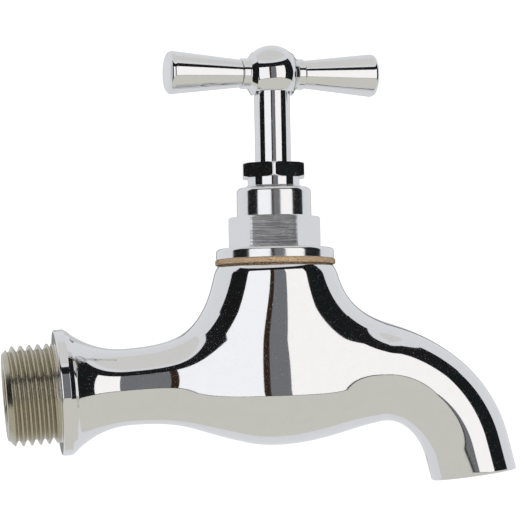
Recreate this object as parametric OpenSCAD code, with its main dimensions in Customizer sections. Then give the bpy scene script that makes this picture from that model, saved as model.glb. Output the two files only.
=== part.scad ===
// Hose bib: a bib tap with a T-handle. All sizes in mm.
// The origin is the centre of the wall flange's back face. +X runs along the inlet axis
// towards the spout, +Z is up, and the headwork stands on an axis that leans towards the spout.

/* [Inlet] */
// outside diameter of the inlet thread
thread_d = 20.955; // [20.9:0.005:21]
// pitch of the inlet thread
thread_pitch = 1.814; // [1.78:0.002:1.84]
// length of the inlet stub
inlet_len = 11; // [10.5:0.25:12]
// diameter of the inlet waterway
inlet_bore_d = 13; // [11:0.5:13]
// diameter of the wall flange
flange_d = 26.4; // [24:0.2:29]
// diameter of the neck between the flange and the belly
pipe_d = 16.1; // [15.8:0.1:17]

/* [Casting] */
// place of the head axis along the inlet axis
axis_x = 46.5; // [46:0.25:47]
// lean of the head axis towards the spout
lean = 3.8; // [3:0.2:4.6]
// height of the tower's machined rim
rim_s = 23.15; // [22.6:0.05:23.4]
// radius of the tower where it meets the rim
tower_r = 12.53; // [12.2:0.05:13]
// radius of the spout's bend
bend_r = 21.1; // [20.6:0.1:21.6]
// outside radius of the spout near the mouth
mouth_r = 9.04; // [8.9:0.05:9.4]
// radius of the spout waterway
spout_bore_r = 7.2; // [6.4:0.1:7.3]

/* [Headwork] */
// width across flats of the bonnet hexagon
bonnet_af = 17; // [16.5:0.25:18]
// width across flats of the gland nut
gland_af = 13; // [12.5:0.25:13.5]
// diameter of the spindle's stem
stem_d = 7.6; // [7:0.1:7.6]
// radius of the handle's ball
hub_r = 6.1; // [5.9:0.1:6.6]
// angle of the T-bar to the inlet axis, seen from above
bar_yaw = 9; // [0:0.5:90]
// length of the T-bar from end to end
bar_len = 46.4; // [42:0.2:54]

/* [Hidden] */
$fn = 72;
// running clearance, least step, and how far a cutting shape runs past the face that it opens
clear = 0.03;
eps = 0.01;
over = 1;

// inlet thread
crest_r = thread_d / 2;
root_r = crest_r - 0.64 * thread_pitch;
crest_half = 0.2;
flank = 0.58;
ridge_n = 5;
ridge_x0 = -10.15;
shoulder_len = 1.9;
lead_drop = 0.4;
end_step = 0.1;
rim_bevel = 0.5;
rim_len = 1.95;
flare_x = 2.3;
flare_steps = 10;
flare_r = flange_d / 2 - 0.25;
flare_pow = 2.2;
skin_x = 15;
skin_lap = 0.8;
lap_step = 0.04;
plug_r = 7;
plug_len = 1.5;
pipe_r = pipe_d / 2;

// outer skin of the casting: three soft solids blended together
blend = 94.8;
tower_flare = 3.95;
tower_flare_len = 23.3;
tower_foot_s = -3.65;
tower_foot_k = 4;
pipe_grow = 2.757;
pipe_grow_len = 20;
pipe_end_x = 39;
spout_drop = 9.53;
bend_x = 68.48;
bend_z = -1.25;
bend_end = 80;
spout_thick_r = 11.78;
taper_from = -18;
taper_len = 30;
spout_back = 22;
flank_narrow = 0.43;
flank_rise = 16;
flank_x0 = 17;
flank_in = 21;
flank_x1 = 72;
flank_out = 18;
bend_cx = bend_x - bend_r * sin(spout_drop);
bend_cz = bend_z - bend_r * cos(spout_drop);
end_x = bend_cx + bend_r * sin(bend_end);
end_z = bend_cz + bend_r * cos(bend_end);
mouth_x = 86.8;
mouth_z = -24.75;
mouth_tilt = 3.5;
cell = 2.1;
grid_lo = [10.7, -19.95, -30.45];
grid_n = [43, 19, 28];
settle_steps = 4;
cap_gain = 20;
cap_inlet = 1.2;
cap_rim = 1.6;
cap_mouth = 2.6;
cutter_deep = 10;
cutter_wide = 40;
cutter_long = 50;

// waterways
seat_hole_r = 5;
seat_lip_r = 6.7;
seat_lip_h = 0.8;
chamber_r = 8;
tower_bore_r = 10;
tower_bore_s = 13.2;
low_r = 4.2;
knee = 0.2;
knee_back = 2;
slope_step = 0.1;
low_z = -8;
slope_x0 = 26;
slope_z0 = -0.4;
slope_x1 = 40;
low_end_x = 47.8;
spout_way_x = 54;
way_lap = 0.5;
way_step = 0.06;
way_out = 12;

// headwork, heights along the head axis
gasket_r = 12.85;
gasket_s1 = rim_s + 1.1;
gasket_gap = 0.1;
skirt_s0 = 13.6;
skirt_chamfer = 3;
skirt_chamfer_r = 8;
flange_s1 = gasket_s1 + 2.35;
bonnet_flange_r = 12.5;
bonnet_flange_edge = 0.6;
bonnet_hex_cut = 0.35;
bonnet_turn = -9;
hex_s1 = flange_s1 + 6.7;
collar_s1 = hex_s1 + 6.2;
collar_r = 7.9;
collar_edge = 1;
lip_r = 5.9;
lip_h = 0.4;
lip_edge = 0.3;
drive_r = 4.95;
drive_top_s = 22;
drive_bore_s1 = 27.6;
stem_r = stem_d / 2;
box_s0 = 30;
box_r = 5.5;
ring_h = 1.5;
gland_s0 = 34.5;
gland_hex_s0 = collar_s1 + 2;
gland_hex_s1 = gland_hex_s0 + 3.1;
gland_hex_cut = 0.4;
gland_turn = 23;

// handle
hub_s = 63.7;
hub_foot_s = 59.8;
tang_r = 3;
tang_top_s = 66.5;
tang_gap = 0.2;
hub_cut_deep = 5;
hub_cut_wide = 20;
boss_r = 3.27;
boss_x = 6.9;
bar_r = 2;
bar_half = 15.4;
bar_hole_len = 20;
bar_end_gap = 0.2;
grip_r0 = 2.93;
grip_r1 = 4.65;
grip_edge = 0.9;
grip_crown = 0.5;
crown_r = 2.2;
crown_dip = 0.14;

// valve
washer_h = 3;
washer_r = 6.4;
jumper_r = 7;
jumper_h = 2;
jumper_gap = 0.1;
guide_r = 2.4;
guide_clear = 0.05;
guide_top_s = 16;
guide_bore_s1 = 17.5;
stud_r = 1.95;
nut_af = 7;
nut_h = 2.3;
nut_cut = 0.3;
stud_foot_s = -2.8;

// places its children on the head axis at height s
module on_axis(s = 0) {
  translate([axis_x, 0, 0])
    rotate([0, lean, 0])
      translate([0, 0, s])
        children();
}

// places its children on the T-bar's axis, with +X along the bar
module on_bar() {
  on_axis(hub_s)
    rotate([0, 0, bar_yaw])
      children();
}

// a shaft between two heights on the head axis
module rod(r, s0, s1) {
  on_axis(s0)
    cylinder(h = s1 - s0, r = r);
}

function ramp(v) = let (c = min(1, max(0, v))) c * c * (3 - 2 * c);

function head_s(p) = (p[0] - axis_x) * sin(lean) + p[2] * cos(lean);

function head_t(p) = (p[0] - axis_x) * cos(lean) - p[2] * sin(lean);

// how far the sides are drawn in beside the tower, so that it flares only fore and aft
function side_gain(p) =
  1 + flank_narrow * ramp((rim_s - head_s(p)) / flank_rise)
  * ramp((p[0] - flank_x0) / flank_in) * ramp((flank_x1 - p[0]) / flank_out);

function tower_v(p, yy) =
  let (s = head_s(p))
  pow(tower_r + tower_flare * max(0, tower_flare_len - s) / tower_flare_len, 2)
  - pow(head_t(p), 2) - yy - tower_foot_k * pow(max(0, tower_foot_s - s), 2);

function pipe_v(p, yy) =
  pow(pipe_r + pipe_grow * pow(max(0, p[0] - skin_x) / pipe_grow_len, 2), 2)
  - p[2] * p[2] - yy - pow(max(0, p[0] - pipe_end_x), 2);

// [distance run along the spout's middle line, distance from it in the plane of symmetry]
function spout_place(p) =
  let (
    dx = p[0] - bend_cx,
    dz = p[2] - bend_cz,
    a = atan2(dx, dz)
  )
  a < spout_drop
    ? [
      (p[0] - bend_x) * cos(spout_drop) - (p[2] - bend_z) * sin(spout_drop),
      (p[0] - bend_x) * sin(spout_drop) + (p[2] - bend_z) * cos(spout_drop)
    ]
    : a > bend_end
      ? [
        bend_r * (bend_end - spout_drop) * PI / 180 + dx * cos(bend_end) - dz * sin(bend_end),
        dx * sin(bend_end) + dz * cos(bend_end) - bend_r
      ]
      : [bend_r * (a - spout_drop) * PI / 180, norm([dx, dz]) - bend_r];

function spout_v(p, yy) =
  let (
    q = spout_place(p),
    r = spout_thick_r + (mouth_r - spout_thick_r) * ramp((q[0] - taper_from) / taper_len)
  )
  r * r - q[1] * q[1] - yy - pow(max(0, -q[0] - spout_back), 2);

// positive inside the casting, zero on its skin
function skin(p) =
  let (
    yy = p[1] * p[1] * side_gain(p),
    a = tower_v(p, yy),
    b = pipe_v(p, yy),
    c = spout_v(p, yy),
    m = max(a, b, c)
  )
  m + blend * ln(exp((a - m) / blend) + exp((b - m) / blend) + exp((c - m) / blend));

// the skin closed off a little beyond each machined face
function closed_skin(p) =
  min(
    skin(p),
    cap_gain * (p[0] - skin_x + cap_inlet),
    cap_gain * (rim_s + cap_rim - head_s(p)),
    cap_gain * (p[2] - mouth_z + cap_mouth)
  );

// a point brought onto the skin in n steps along its gradient, each at most half a cell
function settle(p, n) =
  n == 0
    ? p
    : let (
      v = closed_skin(p),
      g = [
        closed_skin(p + [eps, 0, 0]) - v,
        closed_skin(p + [0, eps, 0]) - v,
        closed_skin(p + [0, 0, eps]) - v
      ] / eps,
      gg = max(1, g * g),
      step = g * (-v / gg),
      far = norm(step)
    )
    settle(p + step * (far > cell / 2 ? cell / 2 / far : 1), n - 1);

// the eight corners of a cell and its twelve edges
corner = [[0, 0, 0], [1, 0, 0], [0, 1, 0], [1, 1, 0], [0, 0, 1], [1, 0, 1], [0, 1, 1], [1, 1, 1]];
cell_edge = [
  [0, 1], [2, 3], [4, 5], [6, 7], [0, 2], [1, 3], [4, 6], [5, 7], [0, 4], [1, 5], [2, 6], [3, 7]
];

function grid_point(i, j, k) = grid_lo + cell * [i, j, k];

function cell_point(f, i, j, k) =
  let (
    v = [for (c = corner) f[i + c[0]][j + c[1]][k + c[2]]],
    hits = [
      for (e = cell_edge)
        if ((v[e[0]] > 0) != (v[e[1]] > 0))
          let (w = v[e[0]] / (v[e[0]] - v[e[1]]))
          corner[e[0]] * (1 - w) + corner[e[1]] * w
    ]
  )
  len(hits) == 0 ? undef : settle(grid_point(i, j, k) + cell * sum(hits) / len(hits), settle_steps);

function sum(list, i = 0) = i == len(list) - 1 ? list[i] : list[i] + sum(list, i + 1);

function cell_id(i, j, k) = (i * grid_n[1] + j) * grid_n[2] + k;

// two triangles of a quad, split along its shorter diagonal and turned if asked
function quad(p, q, flip) =
  let (
    short = norm(p[q[0]] - p[q[2]]) < norm(p[q[1]] - p[q[3]]),
    two = short
      ? [[q[0], q[1], q[2]], [q[0], q[2], q[3]]]
      : [[q[1], q[2], q[3]], [q[1], q[3], q[0]]]
  )
  flip ? [for (t = two) [t[2], t[1], t[0]]] : two;

// the casting's blended skin as a closed net of small triangles
module skin_net() {
  f = [
    for (i = [0:grid_n[0]])
      [for (j = [0:grid_n[1]]) [for (k = [0:grid_n[2]]) closed_skin(grid_point(i, j, k))]]
  ];
  raw = [
    for (i = [0:grid_n[0] - 1])
      for (j = [0:grid_n[1] - 1])
        for (k = [0:grid_n[2] - 1]) cell_point(f, i, j, k)
  ];
  place = [for (n = 0, c = 0; n < len(raw); c = c + (is_undef(raw[n]) ? 0 : 1), n = n + 1) c];
  points = [for (p = raw) if (!is_undef(p)) p];
  faces = [
    for (i = [1:grid_n[0] - 1])
      for (j = [1:grid_n[1] - 1])
        for (k = [1:grid_n[2] - 1])
          let (in = f[i][j][k] > 0)
          each [
            if (in != (f[i + 1][j][k] > 0))
              each quad(points, [
                place[cell_id(i, j - 1, k - 1)], place[cell_id(i, j, k - 1)],
                place[cell_id(i, j, k)], place[cell_id(i, j - 1, k)]
              ], in),
            if (in != (f[i][j + 1][k] > 0))
              each quad(points, [
                place[cell_id(i - 1, j, k - 1)], place[cell_id(i - 1, j, k)],
                place[cell_id(i, j, k)], place[cell_id(i, j, k - 1)]
              ], in),
            if (in != (f[i][j][k + 1] > 0))
              each quad(points, [
                place[cell_id(i - 1, j - 1, k)], place[cell_id(i, j - 1, k)],
                place[cell_id(i, j, k)], place[cell_id(i - 1, j, k)]
              ], in)
          ]
  ];
  polyhedron(points = points, faces = faces);
}

// outline of the inlet stub, wall flange and neck: [along the axis, radius]
function inlet_outline() = concat(
  [[-inlet_len, 0], [-inlet_len, root_r - end_step]],
  [
    for (n = [0:ridge_n - 1])
      let (
        x = ridge_x0 + n * thread_pitch,
        r = n == 0 ? crest_r - lead_drop : crest_r
      )
      each [
        [x - crest_half - flank, root_r], [x - crest_half, r],
        [x + crest_half, r], [x + crest_half + flank, root_r]
      ]
  ],
  [[-shoulder_len, root_r], [-shoulder_len + end_step, crest_r], [0, crest_r]],
  [[0, flange_d / 2 - rim_bevel], [rim_bevel, flange_d / 2], [rim_len, flange_d / 2]],
  [
    for (n = [0:flare_steps])
      let (u = n / flare_steps)
      [flare_x + (skin_x - flare_x) * u, pipe_r + lap_step + (flare_r - pipe_r) * pow(1 - u, flare_pow)]
  ],
  [[skin_x, plug_r], [skin_x + plug_len, plug_r], [skin_x + plug_len, 0]]
);

// threaded stub, wall flange and neck, turned in one piece
module inlet_end() {
  rotate([0, 90, 0])
    rotate_extrude()
      polygon([for (q = inlet_outline()) [q[1], q[0]]]);
}

// everything of the blended skin between its machined faces
module casting() {
  difference() {
    skin_net();
    translate([skin_x - skin_lap - cutter_deep, -cutter_wide / 2, -cutter_wide / 2])
      cube([cutter_deep, cutter_wide, cutter_wide]);
    on_axis(rim_s)
      translate([-cutter_long / 2, -cutter_long / 2, 0])
        cube([cutter_long, cutter_long, cutter_deep]);
    translate([mouth_x, 0, mouth_z])
      rotate([0, -mouth_tilt, 0])
        translate([-cutter_long / 2, -cutter_wide / 2, -cutter_deep])
          cube([cutter_long, cutter_wide, cutter_deep]);
  }
}

// straight in from the wall, then down a narrowing slope to below the valve seat
module inlet_way() {
  straight_end = slope_x0 - knee_back;
  run = slope_x1 - slope_x0;
  fall = low_z - slope_z0;
  translate([-inlet_len - over, 0, 0])
    rotate([0, 90, 0])
      cylinder(h = inlet_len + over + straight_end, r = inlet_bore_d / 2);
  translate([straight_end, 0, 0])
    sphere(r = inlet_bore_d / 2 + knee);
  translate([slope_x0, 0, slope_z0])
    rotate([0, 90 - atan2(fall, run), 0])
      cylinder(h = norm([run, fall]), r1 = inlet_bore_d / 2 - slope_step, r2 = low_r);
  translate([slope_x1, 0, low_z])
    sphere(r = low_r + knee);
  translate([slope_x1, 0, low_z])
    rotate([0, 90, 0])
      cylinder(h = low_end_x - slope_x1, r = low_r);
  translate([low_end_x, 0, low_z])
    sphere(r = low_r + knee);
  rod(seat_hole_r, low_z, over);
}

// round chamber over the seat, a trough round the seat's lip, and the bore for the bonnet
module valve_chamber() {
  rod(chamber_r, 0, tower_bore_s + over);
  difference() {
    rod(chamber_r, -seat_lip_h, over);
    rod(seat_lip_r, -seat_lip_h - over, 0);
  }
  rod(tower_bore_r + clear, tower_bore_s, rim_s + over);
}

// from the chamber along the spout's middle line and out past its mouth
module spout_way() {
  back = (bend_x - spout_way_x) / cos(spout_drop);
  translate([bend_x, 0, bend_z])
    rotate([0, 90 + spout_drop, 0])
      translate([0, 0, -back])
        cylinder(h = back + way_lap, r = spout_bore_r);
  translate([bend_cx, 0, bend_cz])
    rotate([90, 0, 0])
      rotate([0, 0, 90 - bend_end])
        rotate_extrude(angle = bend_end - spout_drop)
          translate([bend_r, 0])
            circle(r = spout_bore_r + way_step);
  translate([end_x, 0, end_z])
    rotate([0, 90 + bend_end, 0])
      translate([0, 0, -way_lap])
        cylinder(h = way_out, r = spout_bore_r);
}

module body() {
  color("silver")
    difference() {
      union() {
        casting();
        inlet_end();
      }
      inlet_way();
      valve_chamber();
      spout_way();
    }
}

module head_gasket() {
  color("tan")
    difference() {
      rod(gasket_r, rim_s, gasket_s1);
      rod(tower_bore_r + gasket_gap, rim_s - over, gasket_s1 + over);
    }
}

// a hexagon on the head axis with its corners turned off at top and bottom
module turned_hex(af, s0, s1, turn, cut) {
  corner_r = af / sqrt(3);
  on_axis(s0)
    intersection() {
      rotate([0, 0, turn])
        cylinder(h = s1 - s0, r = corner_r, $fn = 6);
      rotate_extrude()
        polygon([
          [0, 0], [corner_r - 2 * cut, 0], [corner_r, cut], [corner_r, s1 - s0 - cut],
          [corner_r - 2 * cut, s1 - s0], [0, s1 - s0]
        ]);
    }
}

// a disc on the head axis whose top edge is rounded
module round_top(r, s0, s1, edge) {
  on_axis(s0)
    rotate_extrude()
      polygon(concat(
        [[0, 0], [r, 0]],
        [for (a = [0:15:90]) [r - edge + edge * cos(a), s1 - s0 - edge + edge * sin(a)]],
        [[0, s1 - s0]]
      ));
}

module bonnet() {
  color("silver")
    difference() {
      union() {
        rod(tower_bore_r, skirt_s0, gasket_s1 + over);
        round_top(bonnet_flange_r, gasket_s1, flange_s1, bonnet_flange_edge);
        turned_hex(bonnet_af, flange_s1 - eps, hex_s1, bonnet_turn, bonnet_hex_cut);
        round_top(collar_r, hex_s1 - eps, collar_s1, collar_edge);
        round_top(lip_r, collar_s1 - eps, collar_s1 + lip_h, lip_edge);
      }
      rod(drive_r + clear, skirt_s0 - over, drive_bore_s1);
      rod(stem_r + clear, drive_bore_s1 - over, box_s0 + over);
      rod(box_r + clear, box_s0, collar_s1 + lip_h + over);
      on_axis(skirt_s0 - eps)
        cylinder(h = skirt_chamfer, r1 = skirt_chamfer_r, r2 = drive_r);
    }
}

module packing_ring(s0) {
  difference() {
    rod(box_r, s0, s0 + ring_h);
    rod(stem_r + clear, s0 - over, s0 + ring_h + over);
  }
}

module packing_lower() {
  color("dimgray")
    packing_ring(box_s0);
}

module packing_upper() {
  color("dimgray")
    packing_ring(box_s0 + ring_h);
}

module gland_follower() {
  color("goldenrod")
    packing_ring(box_s0 + 2 * ring_h);
}

module gland_nut() {
  color("silver")
    difference() {
      union() {
        rod(box_r, gland_s0, gland_hex_s0 + over);
        turned_hex(gland_af, gland_hex_s0, gland_hex_s1, gland_turn, gland_hex_cut);
      }
      rod(stem_r + clear, gland_s0 - over, gland_hex_s1 + over);
    }
}

module spindle() {
  color("silver")
    difference() {
      union() {
        rod(drive_r, washer_h + jumper_h + jumper_gap, drive_top_s);
        rod(stem_r, drive_top_s - over, hub_foot_s);
        rod(tang_r, hub_foot_s - over, tang_top_s);
      }
      rod(guide_r + guide_clear, washer_h, guide_bore_s1);
      on_bar()
        rotate([0, 90, 0])
          cylinder(h = bar_hole_len, r = bar_r + clear, center = true);
    }
}

module handle_hub() {
  color("silver")
    difference() {
      union() {
        on_axis(hub_s)
          sphere(r = hub_r);
        on_bar()
          rotate([0, 90, 0])
            cylinder(h = 2 * boss_x, r = boss_r, center = true);
      }
      on_axis(hub_foot_s - hub_cut_deep)
        translate([-hub_cut_wide / 2, -hub_cut_wide / 2, 0])
          cube([hub_cut_wide, hub_cut_wide, hub_cut_deep]);
      rod(tang_r + clear, hub_foot_s - over, tang_top_s + tang_gap);
      on_bar()
        rotate([0, 90, 0])
          cylinder(h = bar_hole_len, r = bar_r + clear, center = true);
    }
}

module cross_bar() {
  color("silver")
    on_bar()
      rotate([0, 90, 0])
        cylinder(h = 2 * bar_half, r = bar_r, center = true);
}

// one tapered grip, pointing along the bar's +X
module grip() {
  tip = bar_len / 2;
  edge_x = tip - grip_edge - grip_crown;
  difference() {
    rotate([0, 90, 0])
      rotate_extrude()
        polygon(concat(
          [[0, boss_x], [grip_r0, boss_x], [grip_r1, edge_x]],
          [
            for (a = [15:15:75])
              [grip_r1 - grip_edge + grip_edge * cos(a), edge_x + grip_edge * sin(a)]
          ],
          [[crown_r, tip - crown_dip], [0, tip]]
        ));
    translate([boss_x - over, 0, 0])
      rotate([0, 90, 0])
        cylinder(h = bar_half + bar_end_gap - boss_x + over, r = bar_r + clear);
  }
}

module grip_left() {
  color("silver")
    on_bar()
      rotate([0, 0, 180])
        grip();
}

module grip_right() {
  color("silver")
    on_bar()
      grip();
}

module jumper() {
  color("goldenrod") {
    rod(jumper_r, washer_h, washer_h + jumper_h);
    rod(guide_r, washer_h + over, guide_top_s);
    rod(stud_r, stud_foot_s, washer_h + over);
  }
}

module seat_washer() {
  color("black")
    difference() {
      rod(washer_r, eps, washer_h);
      rod(stud_r + clear, -over, washer_h + over);
    }
}

module washer_nut() {
  color("goldenrod")
    difference() {
      turned_hex(nut_af, eps - nut_h, eps, 0, nut_cut);
      rod(stud_r + clear, -nut_h - over, over);
    }
}

body();
head_gasket();
bonnet();
packing_lower();
packing_upper();
gland_follower();
gland_nut();
spindle();
handle_hub();
cross_bar();
grip_left();
grip_right();
jumper();
seat_washer();
washer_nut();
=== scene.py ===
"""Looks of a bib tap with a T-handle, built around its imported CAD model.

Sizes are in millimetres in the part's own frame: the origin is the centre of the wall
flange's back face, +X runs along the inlet axis to the spout and +Z is up.
"""

import logging
import math
from dataclasses import dataclass, field
from enum import Enum
from typing import Sequence

import bpy
import numpy as np
from mathutils import Matrix, Vector


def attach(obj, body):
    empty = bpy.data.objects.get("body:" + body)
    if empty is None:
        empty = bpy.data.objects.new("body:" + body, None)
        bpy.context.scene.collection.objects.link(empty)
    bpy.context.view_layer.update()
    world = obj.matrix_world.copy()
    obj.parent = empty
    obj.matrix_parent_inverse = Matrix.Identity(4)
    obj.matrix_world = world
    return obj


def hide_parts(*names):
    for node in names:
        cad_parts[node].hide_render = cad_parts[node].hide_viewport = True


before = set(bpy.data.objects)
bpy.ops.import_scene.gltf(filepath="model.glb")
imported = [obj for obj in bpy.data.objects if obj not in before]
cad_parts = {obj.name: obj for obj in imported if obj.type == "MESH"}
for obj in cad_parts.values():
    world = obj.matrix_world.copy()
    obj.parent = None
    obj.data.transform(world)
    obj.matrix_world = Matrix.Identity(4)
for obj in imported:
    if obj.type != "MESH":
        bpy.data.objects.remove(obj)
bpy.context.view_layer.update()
MM = 0.001
TAU = 2 * math.pi
log = logging.getLogger("bib_tap")
Array = np.ndarray
Grid = tuple[Array, Array, Array]
Pair = tuple[float, float]
Triple = tuple[float, float, float]
Piece, Material = bpy.types.Object, bpy.types.Material
Tree, Socket = bpy.types.NodeTree, bpy.types.NodeSocket
POLE_R = 1e-9


# ---- frames and meshes


@dataclass(frozen=True)
class Axes:
    """A right-handed frame in the part's frame; turned pieces stand on its third axis."""

    origin: Triple
    first: Triple
    second: Triple
    third: Triple

    def place(self, a: Array, b: Array, c: Array) -> Array:
        """Points at distances a, b and c along the three axes.

        Args:
            a: distance along the first axis.
            b: distance along the second axis.
            c: distance along the third axis.

        Returns:
            An array of points whose last dimension is x, y, z.
        """
        stack = [np.asarray(v, float)[..., None] for v in (a, b, c)]
        return (
            np.array(self.origin)
            + stack[0] * np.array(self.first)
            + stack[1] * np.array(self.second)
            + stack[2] * np.array(self.third)
        )


class Shell:
    """Points and faces gathered from grids that may share rows of points."""

    def __init__(self) -> None:
        """Starts with no points."""
        self.points: list[Array] = []
        self.normals: list[Array] = []
        self.faces: list[Array] = []
        self.count = 0

    def add(self, points: Array, normals: Array | None = None) -> Array:
        """Adds points and gives their numbers in an array of the same grid shape.

        Args:
            points: an array of points of any grid shape.
            normals: the surface normals there, or None to have them worked out.

        Returns:
            The numbers of the points.
        """
        flat = points.reshape(-1, 3)
        self.points.append(flat)
        self.normals.append(np.zeros_like(flat) if normals is None else normals.reshape(-1, 3))
        ids = np.arange(self.count, self.count + len(flat)).reshape(points.shape[:-1])
        self.count += len(flat)
        return ids

    def skin(
        self, ids: Array, around: bool = True, along: bool = False, keep: Array | None = None
    ) -> None:
        """Covers a grid of point numbers with quads that face right of the rows' direction.

        Args:
            ids: point numbers, rows first.
            around: whether the last column joins the first.
            along: whether the last row joins the first.
            keep: which quads are made, or None for all.
        """
        if around:
            ids = np.concatenate([ids, ids[:, :1]], 1)
        if along:
            ids = np.concatenate([ids, ids[:1]], 0)
        quads = np.stack([ids[:-1, :-1], ids[:-1, 1:], ids[1:, 1:], ids[1:, :-1]], -1)
        self.faces.append(quads[keep] if keep is not None else quads.reshape(-1, 4))

    def cap(self, ring: Array, pole: Array, first: bool) -> None:
        """Closes a ring of point numbers with a fan of triangles to a pole.

        Args:
            ring: point numbers in order.
            pole: the point in the middle.
            first: whether the ring is the first row of its grid, and not the last.
        """
        middle = int(self.add(np.asarray(pole, float).reshape(1, 3))[0])
        after = np.roll(ring, -1)
        tip = np.full_like(ring, middle)
        self.faces.append(np.stack([tip, after, ring] if first else [ring, after, tip], -1))

    def build(self, name: str, sharp: float | None = None) -> Piece:
        """Makes the object, with smooth shading and the stated normals.

        Args:
            name: the piece's name.
            sharp: the angle in degrees above which edges are left crisp, or None.

        Returns:
            The new object, at the origin.
        """
        sizes = np.concatenate([np.full(len(f), f.shape[1]) for f in self.faces])
        all_corners = np.concatenate([f.reshape(-1) for f in self.faces])
        used, corners = np.unique(all_corners, return_inverse=True)
        points = np.concatenate(self.points)[used] * MM
        mesh = bpy.data.meshes.new(name)
        mesh.vertices.add(len(points))
        mesh.vertices.foreach_set("co", points.astype(np.float32).ravel())
        mesh.loops.add(len(corners))
        mesh.loops.foreach_set("vertex_index", corners.astype(np.int32))
        mesh.polygons.add(len(sizes))
        mesh.polygons.foreach_set("loop_start", (np.cumsum(sizes) - sizes).astype(np.int32))
        mesh.update(calc_edges=True)
        mesh.validate()
        mesh.shade_smooth()
        if sharp is not None:
            mesh.set_sharp_from_angle(angle=math.radians(sharp))
        normals = np.concatenate(self.normals)[used]
        if np.any(normals):
            mesh.normals_split_custom_set_from_vertices(normals.tolist())
        piece = bpy.data.objects.new(name, mesh)
        bpy.context.scene.collection.objects.link(piece)
        return piece


def soften(corners: Sequence[Triple], steps: int = 5, guard: float = 0.05) -> Array:
    """A profile whose corners are rounded by arcs.

    Each corner is cut back by radius times tan(half the turn) and an arc joins the two
    cuts; a guard point just outside each arc keeps the flats beside it shading flat.

    Args:
        corners: height, radius and rounding of each corner, in order.
        steps: points in an arc, less one.
        guard: how far outside the arc the guard points stand.

    Returns:
        Height and radius of the profile's points.
    """
    p = np.array([c[:2] for c in corners], float)
    out = [p[:1]]
    for before, here, after, (_, _, r) in zip(p[:-2], p[1:-1], p[2:], corners[1:-1]):
        a, b = before - here, after - here
        la, lb = np.linalg.norm(a), np.linalg.norm(b)
        a, b = a / la, b / lb
        turn = math.pi - math.acos(float(np.clip(a @ b, -1, 1)))
        if r <= 0 or turn < 1e-3:
            out.append(here[None])
            continue
        cut = r * math.tan(turn / 2)
        middle = here + (a + b) / np.linalg.norm(a + b) * r / math.cos(turn / 2)
        t = np.linspace(0, 1, steps + 1)[:, None]
        va, vb = here + a * cut - middle, here + b * cut - middle
        arc = middle + (np.sin((1 - t) * turn) * va + np.sin(t * turn) * vb) / math.sin(turn)
        lead = [here + a * (cut + guard)] if la > cut + 2 * guard else []
        tail = [here + b * (cut + guard)] if lb > cut + 2 * guard else []
        out.append(np.array([*lead, *arc, *tail]))
    out.append(p[-1:])
    return np.concatenate(out)


def round_angles(columns: int) -> Array:
    """The angles of columns spread evenly round an axis, in radians."""
    return np.arange(columns) / columns * TAU


def swept(profile: Array, columns: int) -> Grid:
    """A profile of heights and radii swept round the third axis, as three coordinates."""
    angle = round_angles(columns)
    h, r = profile[:, :1], profile[:, 1:]
    return r * np.cos(angle), r * np.sin(angle), h + 0 * angle


def joined(parts: Sequence[Grid]) -> list[Array]:
    """The three coordinates of several grids of rows, joined in order."""
    return [np.concatenate([part[n] for part in parts]) for n in range(3)]


def unit(v: Array) -> Array:
    """Vectors made one long."""
    return v / np.linalg.norm(v, axis=-1, keepdims=True)


def stand_for(piece: Piece, node: str, body: str) -> Piece:
    """Rides a piece on its body and lets it stand for its CAD node.

    Args:
        piece: the new piece.
        node: the CAD node that it replaces.
        body: the body it rides on.

    Returns:
        The same piece.
    """
    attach(piece, body)
    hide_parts(node)
    return piece


def turned(shell: Shell, axes: Axes, profile: Array, segments: int) -> None:
    """Adds a turned surface: each profile point (height, radius) swept round the third axis.

    Args:
        shell: what the surface is added to.
        axes: the frame it stands in.
        profile: heights and radii; a first or last radius of 0 becomes a pole.
        segments: columns round the axis.
    """
    starts, ends = profile[0, 1] < POLE_R, profile[-1, 1] < POLE_R
    rows = profile[int(starts) : len(profile) - int(ends)]
    ids = shell.add(axes.place(*swept(rows, segments)))
    shell.skin(ids)
    if starts:
        shell.cap(ids[0], axes.place(0, 0, profile[0, 0]), True)
    if ends:
        shell.cap(ids[-1], axes.place(0, 0, profile[-1, 0]), False)


def ramp(v: Array) -> Array:
    """Rises smoothly from 0 to 1 as v does: 3 c^2 - 2 c^3 with c held between 0 and 1."""
    c = np.clip(v, 0, 1)
    return c * c * (3 - 2 * c)


# ---- shared frames

LEAN = math.radians(3.8)
HEAD = Axes(
    (46.5, 0, 0),
    (math.cos(LEAN), 0, -math.sin(LEAN)),
    (0, 1, 0),
    (math.sin(LEAN), 0, math.cos(LEAN)),
)
INLET = Axes((0, 0, 0), (0, 1, 0), (0, 0, 1), (1, 0, 0))
HUB_S = 63.7
YAW = math.radians(9)
BONNET_TURN = math.radians(-9)
GLAND_TURN = math.radians(23)
RIM_S = 23.15
GASKET_TOP_S = 24.25
FLANGE_TOP_S = 26.6
HEX_TOP_S = 33.3
COLLAR_TOP_S = 39.5
HEX_ACROSS = 17.0
THREAD_R = 10.4775


def bar_axes(sign: float) -> Axes:
    """The frame of one side of the T-bar, whose third axis points out along the bar.

    Args:
        sign: 1 for the side towards the spout and -1 for the side towards the inlet.

    Returns:
        The frame, with its origin at the middle of the hub.
    """
    centre = HEAD.place(0, 0, HUB_S)
    out = HEAD.place(sign * math.cos(YAW), sign * math.sin(YAW), 0) - np.array(HEAD.origin)
    up = np.array(HEAD.third)
    return Axes(tuple(centre), tuple(up), tuple(np.cross(out, up)), tuple(out))


# ---- materials


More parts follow.
